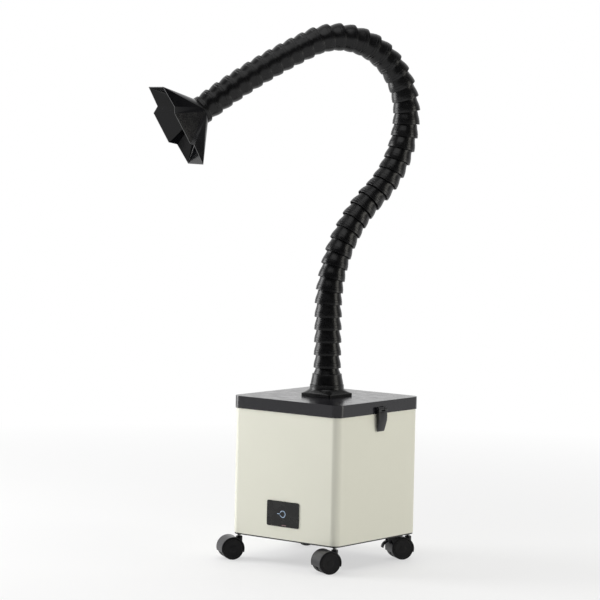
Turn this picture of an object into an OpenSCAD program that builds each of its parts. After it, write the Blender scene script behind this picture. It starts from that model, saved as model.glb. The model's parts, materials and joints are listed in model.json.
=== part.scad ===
// Solder fume extractor: a filter cabinet on four twin-wheel casters, with a lift-off lid that
// carries a jointed hose arm and a suction hood.
// Millimetres. The origin is on the floor, under the centre of the cabinet. +Z is up, the touch
// panel faces -Y, and the latches are on the +X and -X sides.

/* [Cabinet] */
// Width and depth of the cabinet
body_w = 300; // [280:5:330]
// Height of the cabinet that shows between the base plate and the lid
body_h = 284; // [260:2:310]
// Outer radius of the cabinet's upright corners
body_corner_r = 18; // [12:1:26]
// Thickness of the cabinet's sheet steel
sheet_t = 1.2; // [1:0.1:2]
// Height of the cabinet's lower edge above the floor
floor_gap = 60; // [60:1:70]

/* [Lid] */
// Height of the lid's side
lid_h = 27.8; // [26:0.2:32]
// How far the lid's side stands out past the cabinet
lid_overhang = 2.2; // [2:0.1:4]
// Thickness of the lid's top
lid_t = 2; // [1.6:0.1:2.4]
// Side of the hose flange's square foot
flange_w = 84; // [80:1:90]

/* [Touch panel] */
// Width of the black touch panel
panel_w = 91; // [80:1:110]
// Height of the black touch panel
panel_h = 57; // [50:1:70]
// Height of the panel's centre above the cabinet's lower edge
panel_rise = 56.7; // [45:0.1:90]

/* [Filters and blower] */
// Width and depth of the filter blocks
filter_w = 286; // [270:2:290]
// Height of the HEPA filter
hepa_h = 90; // [60:5:95]
// Height of the carbon filter
carbon_h = 70; // [40:5:75]
// Height of the coarse prefilter pad
pad_h = 20; // [10:1:20]
// Radius of the blower wheel
impeller_r = 58; // [50:1:62]
// Number of blades on the blower wheel
impeller_blades = 9; // [7:1:11]

/* [Hose arm] */
// Distance between the ball centres of neighbouring hose elements
pitch = 28.8; // [28:0.1:30]
// Outer radius of an element's skirt
skirt_r = 31.2; // [31:0.1:32]
// Radius of the ball on an element's outer end
ball_r = 24.8; // [24:0.1:25]
// Radius of the air passage
bore_r = 21.3; // [20:0.1:21.5]
// Direction in which the arm reaches, in degrees from -Y towards -X
arm_turn = 27; // [0:1:60]

/* [Hood] */
// Bend between the last element and the hood, in degrees
hood_bend = -5.7; // [-8:0.1:4]
// Distance from the hood's ball centre to the plane of its ears' rim
hood_depth = 71.5; // [66:0.5:80]
// Half length of the hood, from its axis to the end of an ear
hood_half_l = 97; // [90:1:110]
// Half width of the hood's middle
hood_half_w = 64; // [58:1:70]
// Wall thickness of the hood
hood_t = 2.6; // [2.4:0.1:3]

/* [Casters] */
// Distance of each caster's stem from the cabinet's middle, along X and along Y
caster_at = 137; // [120:1:138]
// Wheel radius
wheel_r = 25; // [25:0.5:26]
// Distance from the stem's axis to the wheel's axle, level
caster_trail = 20; // [18:0.5:22]
// Overall width of a twin wheel
twin_w = 45; // [42:1:48]

/* [Hidden] */

$fn = 72;
e = 0.01;                 // tiny overlap that keeps cuts and joins clean
run_gap = 0.05;           // radial clearance of a running fit
free_gap = 0.3;           // clearance between curved faces of moving neighbours

// --- heights ---
body_z = floor_gap;                    // cabinet's lower edge
lid_z = body_z + body_h;               // lid's lower edge
lid_top = lid_z + lid_h;
lid_w = body_w + 2*lid_overhang;
lid_gap = 0.6;                         // between the cabinet and the inside of the lid's side
gasket_t = 2;
shell_top = lid_top - lid_t - gasket_t;
base_t = 3;
base_z = body_z - base_t;

// --- inside the cabinet ---
inner_w = body_w - 2*sheet_t;
housing_z = body_z + 8;
housing_h = 62;
housing_r = 88;
housing_t = 2;
shaft_r = 4;
plate_t = 1.5;
impeller_z = housing_z + 12;           // underside of the blower wheel
duct_x = [-30, housing_r];             // the blower's outlet duct runs between these
plate_z = housing_z + housing_h + 8;
hepa_z = plate_z + plate_t;
carbon_z = hepa_z + hepa_h;
pad_z = carbon_z + carbon_h;

// --- latches ---
latch_w = 31.6;
latch_knuckle_r = 4.2;
latch_x = lid_w/2 + latch_knuckle_r + 0.5;
latch_z = lid_z + 10.8;
latch_tip_z = lid_z - 40;
latch_pin_r = 1.5;
lug_w = 12;
catch_z = lid_z - 22;
catch_h = 12;

// --- hose arm ---
// The arm's stretches, from the base up: number of elements and the bend at each, in degrees.
// A positive bend leans the arm towards the side that it reaches to.
stretches = [[5, 0], [10, -4.6], [7, 6.5], [12, 9.6], [10, 1.1]];
elements_per_section = 3;
bends = [for (s = stretches) for (i = [1:s[0]]) s[1]];
n_elements = len(bends);
leans = [for (i = 0, a = bends[0]; i < n_elements; i = i + 1, a = a + (i < n_elements ? bends[i] : 0)) a];
ball_z = lid_top + 69.2;               // centre of the fixed neck's ball
// Ball centres in the arm's plane, as [reach, height]
balls = [for (i = 0, p = [0, ball_z]; i <= n_elements;
    p = i < n_elements ? p + pitch*[sin(leans[i]), cos(leans[i])] : p, i = i + 1) p];
hood_lean = leans[n_elements - 1] + hood_bend;
skirt_drop = 5;                        // how far a skirt hangs below its own ball centre
collar_r = 26.2;
collar_top = pitch - 4.3;

// --- casters: [name, x side, y side, swivel in degrees] ---
swivel_fl = -34;
swivel_fr = -27;
swivel_rr = -33;
swivel_rl = -40;
fork_r = 27;                           // outer radius of the wheel cover
fork_t = 1.4;
fork_clear_r = fork_r - fork_t;
web_t = 6;
stem_r = 4;
stem_top = body_z + 14;
boss_r = 7.5;
boss_top = base_z - 2.5;
axle_r = 3;
brake_r = fork_r + 4;                  // distance from the axle to the brake lever's hinge
brake_angle = 150;
brake_w = 16;
brake_pin_r = 1.5;

// ---------- helpers ----------

// Square with rounded corners, centred
module rounded_square(w, d, r) {
    square([w - 2*r, d], center = true);
    square([w, d - 2*r], center = true);
    for (x = [-1, 1], y = [-1, 1]) translate([x*(w/2 - r), y*(d/2 - r)]) circle(r);
}

module rounded_slab(w, d, r, h) {
    linear_extrude(h) rounded_square(w, d, r);
}

module box(w, d, h) {
    translate([-w/2, -d/2, 0]) cube([w, d, h]);
}

// Children at the four corners of a square pattern
module at_corners(x, y) {
    for (i = [-1, 1], j = [-1, 1]) translate([i*x, j*y, 0]) children();
}

// Puts children in a frame on the arm: origin at a ball centre, +Z along the given lean
module on_arm(ball, lean) {
    rotate([0, 0, -90 - arm_turn])
        translate([ball[0], 0, ball[1]])
            rotate([0, lean, 0])
                children();
}

module pan_screw(head_r, head_h, shaft_r, shaft_l) {
    difference() {
        cylinder(h = head_h, r = head_r);
        translate([-head_r*0.6, -0.5, -e]) cube([head_r*1.2, 1, head_h*0.4]);
        translate([-0.5, -head_r*0.6, -e]) cube([1, head_r*1.2, head_h*0.4]);
    }
    translate([0, 0, head_h - e]) cylinder(h = shaft_l, r = shaft_r);
}

// ---------- cabinet ----------

screw_spots = [[58, -134], [-58, -134], [58, 134], [-58, 134], [134, 0], [-134, 0]];
base_lip = 24;
grille_x = (duct_x[0] + duct_x[1])/2;
grille_w = 104;
grille_h = 48;
grille_z = body_z + 14;
grille_edge = 8;
slats = 7;
inlet_x = 112;
inlet_z = body_z + 34;

module cabinet_shell() color("ivory") difference() {
    translate([0, 0, body_z])
        rounded_slab(body_w, body_w, body_corner_r, shell_top - body_z);
    translate([0, 0, body_z + sheet_t])
        rounded_slab(inner_w, inner_w, body_corner_r - sheet_t, body_w*2);
    // opening in the bottom, inside a lip that the base plate is screwed to
    translate([0, 0, body_z - e])
        rounded_slab(body_w - 2*base_lip - 30, body_w - 2*base_lip - 30, 10, 10);
    for (p = screw_spots) translate([p[0], p[1], body_z - 1]) cylinder(h = 5, r = 1.7);
    at_corners(caster_at, caster_at)
        translate([0, 0, body_z - 1]) cylinder(h = 5, r = 6.5);
    // touch panel
    translate([0, -body_w/2, body_z + panel_rise - panel_h/2 + 3])
        box(panel_w - 6, 10, panel_h - 6);
    // exhaust window, a row of slots
    for (i = [-3:3])
        translate([grille_x + i*grille_w/7, body_w/2, grille_z]) box(8, 10, grille_h);
    // mains inlet
    translate([inlet_x, body_w/2, inlet_z - 12.4]) box(27.2, 10, 24.8);
}

module base_plate() color("black") difference() {
    translate([0, 0, base_z]) rounded_slab(body_w - 2, body_w - 2, body_corner_r - 1, base_t);
    at_corners(caster_at, caster_at)
        translate([0, 0, base_z - 1]) cylinder(h = base_t + 2, r = stem_r + 0.1);
    for (p = screw_spots) translate([p[0], p[1], base_z - 1]) cylinder(h = 6, r = 1.7);
}

module base_screws() color("dimgray")
    for (p = screw_spots) translate([p[0], p[1], base_z - 2.4]) pan_screw(3.6, 2.4, 1.6, 9);

module exhaust_grille() color("black") {
    mid_y = body_w/2 + 1.25;
    slat_step = grille_h/slats;
    difference() {
        translate([grille_x, mid_y, grille_z - grille_edge])
            box(grille_w + 2*grille_edge, 2.5, grille_h + 2*grille_edge);
        translate([grille_x, mid_y, grille_z]) box(grille_w, 4, grille_h);
    }
    for (i = [0:slats - 1])
        translate([grille_x, mid_y, grille_z + slat_step*(i + 0.5) - 1.3]) box(grille_w + 1, 2.1, 2.6);
    for (x = [-1, 1])
        translate([grille_x + x*grille_w/6, mid_y, grille_z - 1]) box(3, 1.9, grille_h + 2);
}

module panel_frame() color("black") difference() {
    translate([0, -body_w/2, body_z + panel_rise]) rotate([90, 0, 0])
        translate([0, 0, -4]) rounded_slab(panel_w - 7, panel_h - 7, 3, 4);
    translate([0, -body_w/2, body_z + panel_rise]) rotate([90, 0, 0])
        translate([0, 0, -5]) rounded_slab(panel_w - 13, panel_h - 13, 2, 6);
}

module panel_glass() color("black")
    translate([0, -body_w/2, body_z + panel_rise]) rotate([90, 0, 0])
        rounded_slab(panel_w, panel_h, 4, 1.6);

// Power mark, a ring with a gap and a bar on its left, and a small indicator by the lower edge
module panel_lights() {
    front = -body_w/2 - 1.6;
    light_t = 0.3;
    ring_r = 8;
    line_w = 1.5;
    color("azure") translate([0, front, body_z + panel_rise]) rotate([90, 0, 0]) {
        difference() {
            cylinder(h = light_t, r = ring_r);
            translate([0, 0, -1]) cylinder(h = 3, r = ring_r - line_w);
            translate([-2*ring_r, -2*line_w, -1]) cube([2*ring_r, 4*line_w, 3]);
        }
        translate([-2*ring_r + 0.5, -line_w/2, 0]) cube([ring_r, line_w, light_t]);
    }
    color("firebrick") translate([4, front, body_z + panel_rise - 25]) rotate([90, 0, 0])
        translate([-6, -1, 0]) cube([12, 2, light_t]);
}

module control_board() {
    board_y = -body_w/2 + 9;
    color("darkgreen") translate([0, board_y, body_z + panel_rise - 20]) box(74, 1.6, 40);
    color("dimgray") for (x = [-24, -4, 18])
        translate([x, board_y + 3.3, body_z + panel_rise - 14]) box(12, 5, 20);
    // posts from the back of the glass
    color("dimgray") for (x = [-32, 32])
        translate([x, board_y - 0.8, body_z + panel_rise]) rotate([90, 0, 0])
            cylinder(h = 8.2, r = 2.5);
}

module power_supply() {
    color("silver") translate([-113, 88, body_z + sheet_t]) box(56, 70, 34);
    color("dimgray") translate([-115, 48, body_z + sheet_t + 8]) box(42, 10, 14);
}

// Three-pin appliance inlet with a flange, blades pointing out
module mains_inlet() {
    y = body_w/2;
    color("black") difference() {
        union() {
            translate([inlet_x, y + 1, inlet_z - 15]) box(34, 2, 30);
            translate([inlet_x, y - 12, inlet_z - 12]) box(26.8, 25, 24);
        }
        translate([inlet_x, y - 5, inlet_z - 9]) box(21, 15, 17);
    }
    color("silver") for (p = [[-5, -2], [5, -2], [0, 3]])
        translate([inlet_x + p[0], y - 6, inlet_z + p[1] - 2]) box(2, 13, 4);
}

// Scroll case with a round eye in its roof and a duct to the rear grille
module blower_housing() color("dimgray") difference() {
    union() {
        translate([0, 0, housing_z]) cylinder(h = housing_h, r = housing_r);
        translate([duct_x[0], 0, housing_z]) cube([duct_x[1] - duct_x[0], inner_w/2, housing_h]);
        for (p = [[-60, -50], [60, -50], [-60, 50]])
            translate([p[0], p[1], body_z]) cylinder(h = housing_z - body_z + e, r = 6);
    }
    translate([0, 0, housing_z + housing_t])
        cylinder(h = housing_h - 2*housing_t, r = housing_r - housing_t);
    translate([duct_x[0] + housing_t, 0, housing_z + housing_t])
        cube([duct_x[1] - duct_x[0] - 2*housing_t, body_w, housing_h - 2*housing_t]);
    translate([0, 0, housing_z + housing_h/2]) cylinder(h = housing_h, r = 46);
    translate([0, 0, housing_z - 1]) cylinder(h = 4, r = 20);
}

module blower_motor() color("silver") difference() {
    union() {
        translate([0, 0, body_z]) cylinder(h = impeller_z - body_z - 3, r = 19);
        translate([0, 0, housing_z + housing_t]) cylinder(h = 3, r = 26);
    }
    translate([0, 0, body_z + 6]) cylinder(h = 40, r = shaft_r + run_gap);
}

frame_notch = 5;

// Sheet under the filters with the fan's inlet ring, notched at the front for the panel's frame
module partition_plate() color("silver") difference() {
    union() {
        translate([0, 0, plate_z]) box(inner_w, inner_w - 40, plate_t);
        translate([0, 0, plate_z]) box(inner_w - 40, inner_w, plate_t);
        translate([0, 0, housing_z + housing_h]) cylinder(h = plate_z - housing_z - housing_h + e, r = 54);
    }
    translate([0, 0, plate_z - 20]) cylinder(h = 40, r = 47);
    translate([0, -inner_w/2, plate_z - e]) box(panel_w, 2*frame_notch, plate_t + 2*e);
}

module filter_block(z, h) {
    translate([0, 0, z]) box(filter_w, filter_w, h);
}

module hepa_filter() color("white") difference() {
    filter_block(hepa_z, hepa_h);
    translate([0, 0, hepa_z - 1]) box(filter_w - 30, filter_w - 30, 7);
    translate([0, 0, hepa_z + hepa_h - 6]) box(filter_w - 30, filter_w - 30, 7);
}

module carbon_filter() color("dimgray") difference() {
    filter_block(carbon_z, carbon_h);
    translate([0, 0, carbon_z + carbon_h - 4]) box(filter_w - 24, filter_w - 24, 5);
}

module prefilter_pad() color("lightgray") filter_block(pad_z, pad_h);

// Outline of one swept blade: part of a thin ring, kept between the hub and the rim
module blade_outline() intersection() {
    ring_r = impeller_r*0.48;
    translate([impeller_r*0.62, impeller_r*0.3]) difference() {
        circle(r = ring_r);
        circle(r = ring_r - 1.8);
    }
    translate([impeller_r*0.22, -impeller_r]) square([impeller_r, impeller_r*1.3]);
    circle(r = impeller_r - 1);
}

// Blower wheel: back disc with a hub and shaft, swept blades, and a ring over the blades
module impeller() color("gray") {
    blade_h = 36;
    translate([0, 0, impeller_z]) {
        cylinder(h = 2, r = impeller_r);
        cylinder(h = 16, r1 = 22, r2 = 10);
        for (i = [0:impeller_blades - 1]) rotate([0, 0, i*360/impeller_blades])
            translate([0, 0, 1]) linear_extrude(blade_h) blade_outline();
        translate([0, 0, blade_h]) difference() {
            cylinder(h = 2, r = impeller_r);
            translate([0, 0, -1]) cylinder(h = 4, r = 38);
        }
    }
    translate([0, 0, body_z + 8]) cylinder(h = impeller_z - body_z - 8 + 1, r = shaft_r);
}

module at_sides() {
    children();
    rotate([0, 0, 180]) children();
}

// Steel plates on the cabinet's sides that the latches hook under
module latch_catches() color("silver") at_sides()
    translate([body_w/2, -10, catch_z]) cube([2.2, 20, catch_h]);

module caster_stems() color("silver") at_corners(caster_at, caster_at) {
    translate([0, 0, boss_top - 8.6]) cylinder(h = stem_top - boss_top + 8.6, r = stem_r);
    translate([0, 0, base_z - 1.6]) cylinder(h = 1.6, r = 6.5);
    translate([0, 0, body_z]) cylinder(h = 6, r = 6.4, $fn = 6);
}

// ---------- lid ----------

module lid() color([0.14, 0.14, 0.15]) difference() {
    translate([0, 0, lid_z])
        rounded_slab(lid_w, lid_w, body_corner_r + lid_overhang, lid_h);
    translate([0, 0, lid_z - 1])
        rounded_slab(body_w + 2*lid_gap, body_w + 2*lid_gap, body_corner_r + lid_gap,
            lid_h - lid_t + 1);
    translate([0, 0, lid_top - 10]) cylinder(h = 20, r = 34.5);
    at_corners(34, 34) translate([0, 0, lid_top - 10]) cylinder(h = 20, r = 2.1);
}

module lid_gasket() color([0.2, 0.2, 0.2]) difference() {
    translate([0, 0, shell_top]) rounded_slab(body_w, body_w, body_corner_r, gasket_t);
    translate([0, 0, shell_top - 1])
        rounded_slab(body_w - 12, body_w - 12, body_corner_r - 6, gasket_t + 2);
}

flange_top = lid_top + 22;

// Square foot that flares into a round neck
module hose_flange() color([0.08, 0.08, 0.08]) difference() {
    union() {
        translate([0, 0, lid_top]) rounded_slab(flange_w, flange_w, 4, 9);
        hull() {
            translate([0, 0, lid_top + 9 - e]) rounded_slab(flange_w, flange_w, 4, e, $fn = 32);
            translate([0, 0, lid_top + 14]) rounded_slab(flange_w - 5, flange_w - 5, 20, e, $fn = 48);
        }
        hull() {
            translate([0, 0, lid_top + 14]) rounded_slab(flange_w - 5, flange_w - 5, 20, e, $fn = 48);
            translate([0, 0, flange_top - e]) cylinder(h = e, r = 39);
        }
    }
    translate([0, 0, lid_top - 1]) cylinder(h = 40, r = 34.5);
    at_corners(34, 34) translate([0, 0, lid_top - 1]) cylinder(h = 8, r = 1.9);
}

// Round bearing ring that the arm's neck turns in
module flange_collar() color([0.08, 0.08, 0.08]) difference() {
    union() {
        translate([0, 0, lid_top - lid_t - 2]) cylinder(h = flange_top - lid_top + lid_t + 2 + e, r = 34.3);
        translate([0, 0, flange_top]) cylinder(h = 4, r = 38.5);
        translate([0, 0, lid_top - lid_t - 2.2]) cylinder(h = 2.2, r = 37);
    }
    translate([0, 0, lid_z]) cylinder(h = 80, r = 31);
}

module flange_screws() color("silver") at_corners(34, 34)
    translate([0, 0, lid_top - lid_t - 2.4]) pan_screw(3.6, 2.4, 1.8, lid_t + 6);

module latch_lugs() color([0.12, 0.12, 0.12]) at_sides() difference() {
    union() {
        translate([latch_x, lug_w/2, latch_z]) rotate([90, 0, 0]) cylinder(h = lug_w, r = 3.6);
        translate([lid_w/2, -lug_w/2, latch_z - 3.6]) cube([latch_x - lid_w/2, lug_w, 7.2]);
    }
    translate([latch_x, lug_w, latch_z]) rotate([90, 0, 0])
        cylinder(h = 2*lug_w, r = latch_pin_r + run_gap);
}

module latch_pins() color("silver") at_sides()
    translate([latch_x, latch_w/2 - 1, latch_z]) rotate([90, 0, 0])
        cylinder(h = latch_w - 2, r = latch_pin_r);

// Latch lever on the +X side, hinged at its top, with a barb that hooks under the catch
module latch_lever() color([0.1, 0.1, 0.1]) {
    in_x = body_w/2 + 3.4;
    top_z = latch_z - latch_knuckle_r - 1;
    difference() {
        union() {
            for (y = [-latch_w/2, lug_w/2 + free_gap])
                translate([latch_x, y + latch_w/2 - lug_w/2 - free_gap, latch_z]) rotate([90, 0, 0])
                    cylinder(h = latch_w/2 - lug_w/2 - free_gap, r = latch_knuckle_r);
            for (y = [-latch_w/2, lug_w/2 + free_gap])
                translate([latch_x, y, top_z - e])
                    cube([latch_knuckle_r, latch_w/2 - lug_w/2 - free_gap, latch_z - top_z]);
        }
        translate([latch_x, latch_w, latch_z]) rotate([90, 0, 0])
            cylinder(h = 2*latch_w, r = latch_pin_r + run_gap);
    }
    translate([0, latch_w/2, 0]) rotate([90, 0, 0]) linear_extrude(latch_w) polygon([
        [latch_x + latch_knuckle_r, top_z],
        [latch_x + latch_knuckle_r + 0.2, latch_z - 14],
        [latch_x + latch_knuckle_r - 0.8, latch_z - 28],
        [latch_x + latch_knuckle_r - 3.2, latch_z - 42],
        [latch_x + latch_knuckle_r - 5.2, latch_tip_z + 1],
        [latch_x + latch_knuckle_r - 6.4, latch_tip_z],
        [in_x, latch_tip_z + 2],
        [in_x, top_z]
    ]);
    translate([body_w/2 + 0.6, -8, catch_z - 7.5]) cube([in_x - body_w/2 - 0.6 + e, 16, 5]);
}

module latch_right() latch_lever();
module latch_left() rotate([0, 0, 180]) latch_lever();

// ---------- hose arm ----------

// Turning foot of the arm: spigot, cone and the first ball
module neck_cone() color([0.06, 0.06, 0.06]) difference() {
    union() {
        translate([0, 0, lid_top + 2]) cylinder(h = 26, r = 31 - run_gap);
        rotate_extrude() polygon([
            [0, flange_top + 4.3], [37.3, flange_top + 4.3], [33.4, flange_top + 26.5],
            [32.6, flange_top + 28.5], [29.8, flange_top + 28.5], [27.2, ball_z - pitch + 17],
            [collar_r, ball_z - pitch + collar_top], [0, ball_z - pitch + collar_top]
        ]);
        intersection() {
            translate([0, 0, ball_z]) sphere(ball_r);
            translate([0, 0, ball_z - 10]) cylinder(h = 22, r = 40);
        }
    }
    translate([0, 0, lid_top]) cylinder(h = 100, r = bore_r);
}

// Inside of a skirt: a flared mouth and the socket that turns on the ball below
module socket_space() {
    rotate_extrude() polygon([
        [0, -skirt_drop - 1], [skirt_r - 1.5, -skirt_drop - 1], [skirt_r - 1.8, -skirt_drop],
        [28, 1], [ball_r + free_gap, 3], [0, 3]
    ]);
    sphere(ball_r + free_gap);
}

// One bell of the arm: skirt and socket at its lower end, ball at its upper end
module hose_element() difference() {
    union() {
        rotate_extrude() polygon([
            [0, -skirt_drop], [skirt_r, -skirt_drop], [skirt_r - 0.4, 3], [skirt_r - 1.8, 10],
            [27.2, 17], [26.6, 20], [collar_r, collar_top], [0, collar_top]
        ]);
        intersection() {
            translate([0, 0, pitch]) sphere(ball_r);
            translate([0, 0, pitch - 10]) cylinder(h = 22, r = 40);
        }
    }
    socket_space();
    cylinder(h = 2*pitch, r = bore_r);
}

// A run of bells that bend as one; number counts from the base
module hose_section(number) color([0.06, 0.06, 0.06]) {
    first = (number - 1)*elements_per_section;
    last = min(first + elements_per_section, n_elements) - 1;
    for (i = [first:last]) on_arm(balls[i], leans[i]) hose_element();
}

hood_collar_l = 14;
hood_turn_r = 27;

// Socket end that tilts on the last ball and that the hood turns on
module hood_mount() color([0.06, 0.06, 0.06]) on_arm(balls[n_elements], hood_lean) difference() {
    union() {
        rotate_extrude() polygon([
            [0, -skirt_drop], [skirt_r, -skirt_drop], [skirt_r, 4], [skirt_r - 1.2, 6],
            [0, 6]
        ]);
        cylinder(h = 6 + hood_collar_l, r = hood_turn_r);
    }
    socket_space();
    cylinder(h = 60, r = bore_r);
}

// Outer or inner form of the hood: a wide funnel crossed by a long one
module hood_form(wall, extra) {
    rim = hood_depth + extra;
    middle = [37 + extra, hood_half_w - wall];
    notch = [48 + extra, 51 - wall];
    ear = [hood_half_l - wall*0.6, 44 - wall];
    base = 6.3 + hood_collar_l;
    hull() {
        translate([0, 0, 6.3 - extra]) cylinder(h = hood_collar_l + extra, r = skirt_r - 0.2 - wall, $fn = 32);
        translate([0, 0, rim + 11 - e]) box(2*middle[0], 2*middle[1], e);
        translate([0, 0, rim - e]) box(2*notch[0], 2*notch[1], e);
    }
    hull() {
        translate([0, 0, 6.3 - extra]) cylinder(h = hood_collar_l + extra, r = skirt_r - 0.2 - wall, $fn = 32);
        translate([0, 0, rim - e]) linear_extrude(e) polygon([
            [-ear[0], -ear[1]], [-notch[0], -notch[1]], [notch[0], -notch[1]], [ear[0], -ear[1]],
            [ear[0], ear[1]], [notch[0], notch[1]], [-notch[0], notch[1]], [-ear[0], ear[1]]
        ]);
    }
}

module hood_shell() color([0.07, 0.07, 0.07]) on_arm(balls[n_elements], hood_lean) difference() {
    hood_form(0, 0);
    difference() {
        hood_form(hood_t, 0.5);
        translate([0, 0, -1]) cylinder(h = 7.3 + hood_collar_l, r = 60);
    }
    cylinder(h = 7 + hood_collar_l, r = hood_turn_r + run_gap);
}

// ---------- casters ----------

// Puts children in a caster's frame: origin on the floor under the stem, X along the axle, and
// the wheels trailing towards -Y
module at_caster(x, y, swivel) {
    translate([x*caster_at, y*caster_at, 0]) rotate([0, 0, swivel]) children();
}

// A round bar along X through the point (y, z)
module cross_bar(y, z, l, r) {
    translate([-l/2, y, z]) rotate([0, 90, 0]) cylinder(h = l, r = r);
}

brake_y = -caster_trail + brake_r*cos(brake_angle);
brake_z = wheel_r + brake_r*sin(brake_angle);

module caster_fork(brake) color([0.1, 0.1, 0.11]) difference() {
    union() {
        difference() {
            union() {
                cross_bar(-caster_trail, wheel_r, twin_w + 1, fork_r);
                translate([0, 0, wheel_r + 12]) cylinder(h = boss_top - wheel_r - 12, r = boss_r);
                if (brake) for (x = [-1, 1])
                    translate([x*(brake_w/2 + 2.3), 0, 0]) cross_bar(brake_y, brake_z, 3.4, 4.4);
            }
            cross_bar(-caster_trail, wheel_r, twin_w + 10, fork_clear_r);
        }
        intersection() {
            cross_bar(-caster_trail, wheel_r, web_t, fork_clear_r + 0.5);
            translate([-10, -caster_trail - 40, wheel_r - 12]) cube([20, 80, 60]);
        }
    }
    // open below: the cover ends a little under the axle's height
    translate([-40, -caster_trail - 60, -10]) cube([80, 120, wheel_r + 10 - fork_r*sin(18)]);
    cross_bar(-caster_trail, wheel_r, 3*web_t, axle_r + run_gap);
    translate([0, 0, boss_top - 9]) cylinder(h = 20, r = stem_r + run_gap);
    if (brake) cross_bar(brake_y, brake_z, 60, brake_pin_r + run_gap);
}

module caster_wheels() color([0.13, 0.13, 0.14]) for (side = [-1, 1]) difference() {
    wheel_w = (twin_w - web_t)/2 - 0.6;
    mid = side*(twin_w/2 - wheel_w/2);
    translate([mid, 0, 0]) cross_bar(-caster_trail, wheel_r, wheel_w, wheel_r);
    // shallow ring on the outer face
    translate([side*twin_w/2, 0, 0]) difference() {
        cross_bar(-caster_trail, wheel_r, 1.6, wheel_r - 5);
        cross_bar(-caster_trail, wheel_r, 4, wheel_r - 6.6);
    }
    translate([mid, 0, 0]) cross_bar(-caster_trail, wheel_r, wheel_w + 2, axle_r + run_gap);
}

module caster_axle() color("silver") cross_bar(-caster_trail, wheel_r, twin_w - 1, axle_r);

// Curved pedal that swings down on the cover to lock the wheels
module brake_lever() color([0.1, 0.1, 0.11]) {
    cross_bar(brake_y, brake_z, brake_w, 3.2);
    cross_bar(brake_y, brake_z, brake_w + 7, brake_pin_r);
    intersection() {
        difference() {
            cross_bar(brake_y - 1, brake_z - 14.5, brake_w, 16);
            cross_bar(brake_y - 1, brake_z - 14.5, brake_w + 2, 13);
        }
        translate([-brake_w, brake_y - 31, brake_z - 15.5]) cube([2*brake_w, 30, 30]);
    }
}

// ---------- draw ----------

cabinet_shell();
base_plate();
base_screws();
exhaust_grille();
panel_frame();
panel_glass();
panel_lights();
control_board();
power_supply();
mains_inlet();
blower_housing();
blower_motor();
partition_plate();
hepa_filter();
carbon_filter();
prefilter_pad();
latch_catches();
caster_stems();
impeller();
lid();
lid_gasket();
hose_flange();
flange_collar();
flange_screws();
latch_lugs();
latch_pins();
latch_left();
latch_right();
neck_cone();
hose_section(1);  // hose_01
hose_section(2);  // hose_02
hose_section(3);  // hose_03
hose_section(4);  // hose_04
hose_section(5);  // hose_05
hose_section(6);  // hose_06
hose_section(7);  // hose_07
hose_section(8);  // hose_08
hose_section(9);  // hose_09
hose_section(10);  // hose_10
hose_section(11);  // hose_11
hose_section(12);  // hose_12
hose_section(13);  // hose_13
hose_section(14);  // hose_14
hose_section(15);  // hose_15
hood_mount();
hood_shell();
at_caster(-1, -1, swivel_fl) caster_fork(false);  // caster_fork_fl
at_caster(1, -1, swivel_fr) caster_fork(false);  // caster_fork_fr
at_caster(1, 1, swivel_rr) caster_fork(true);  // caster_fork_rr
at_caster(-1, 1, swivel_rl) caster_fork(true);  // caster_fork_rl
at_caster(-1, -1, swivel_fl) caster_wheels();  // caster_wheels_fl
at_caster(1, -1, swivel_fr) caster_wheels();  // caster_wheels_fr
at_caster(1, 1, swivel_rr) caster_wheels();  // caster_wheels_rr
at_caster(-1, 1, swivel_rl) caster_wheels();  // caster_wheels_rl
at_caster(-1, -1, swivel_fl) caster_axle();  // caster_axle_fl
at_caster(1, -1, swivel_fr) caster_axle();  // caster_axle_fr
at_caster(1, 1, swivel_rr) caster_axle();  // caster_axle_rr
at_caster(-1, 1, swivel_rl) caster_axle();  // caster_axle_rl
at_caster(1, 1, swivel_rr) brake_lever();  // brake_lever_rr
at_caster(-1, 1, swivel_rl) brake_lever();  // brake_lever_rl
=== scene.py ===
"""Looks of the solder fume extractor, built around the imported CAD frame.

The frame is in metres. Shapes here are written in millimetres and scaled when a piece is made.
"""
import json
import math

import bmesh
import bpy
from mathutils import Matrix, Vector, noise


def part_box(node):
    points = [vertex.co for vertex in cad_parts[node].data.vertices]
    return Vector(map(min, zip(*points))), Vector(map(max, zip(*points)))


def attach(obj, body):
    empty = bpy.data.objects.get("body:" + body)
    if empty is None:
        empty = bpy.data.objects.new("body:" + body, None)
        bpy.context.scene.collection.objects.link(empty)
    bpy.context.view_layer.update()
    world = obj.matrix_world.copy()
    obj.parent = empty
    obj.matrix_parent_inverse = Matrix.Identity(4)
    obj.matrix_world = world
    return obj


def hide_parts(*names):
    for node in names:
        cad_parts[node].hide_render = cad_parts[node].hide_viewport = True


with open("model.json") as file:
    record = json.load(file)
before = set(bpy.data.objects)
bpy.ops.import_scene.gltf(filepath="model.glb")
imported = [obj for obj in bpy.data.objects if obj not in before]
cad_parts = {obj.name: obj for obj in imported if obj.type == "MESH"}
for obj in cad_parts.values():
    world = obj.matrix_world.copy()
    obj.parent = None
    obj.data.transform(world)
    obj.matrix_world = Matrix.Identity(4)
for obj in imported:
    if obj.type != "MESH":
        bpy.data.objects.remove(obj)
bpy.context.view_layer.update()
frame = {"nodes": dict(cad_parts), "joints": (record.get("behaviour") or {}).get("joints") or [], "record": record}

MM = 0.001
NODES = frame["nodes"]
SLOT_OF = {part["node"]: part["material_slot"] for part in frame["record"]["subparts"]}
BODY_OF = {node: body for body, nodes in frame["record"]["behaviour"]["bodies"].items() for node in nodes}
JOINTS = {joint["name"]: joint for joint in frame["joints"]}


# ---------------------------------------------------------------- sizes, in millimetres

def box_mm(node):
    """Lowest and highest corner of a CAD node, in millimetres."""
    low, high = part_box(node)
    return low / MM, high / MM


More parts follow.
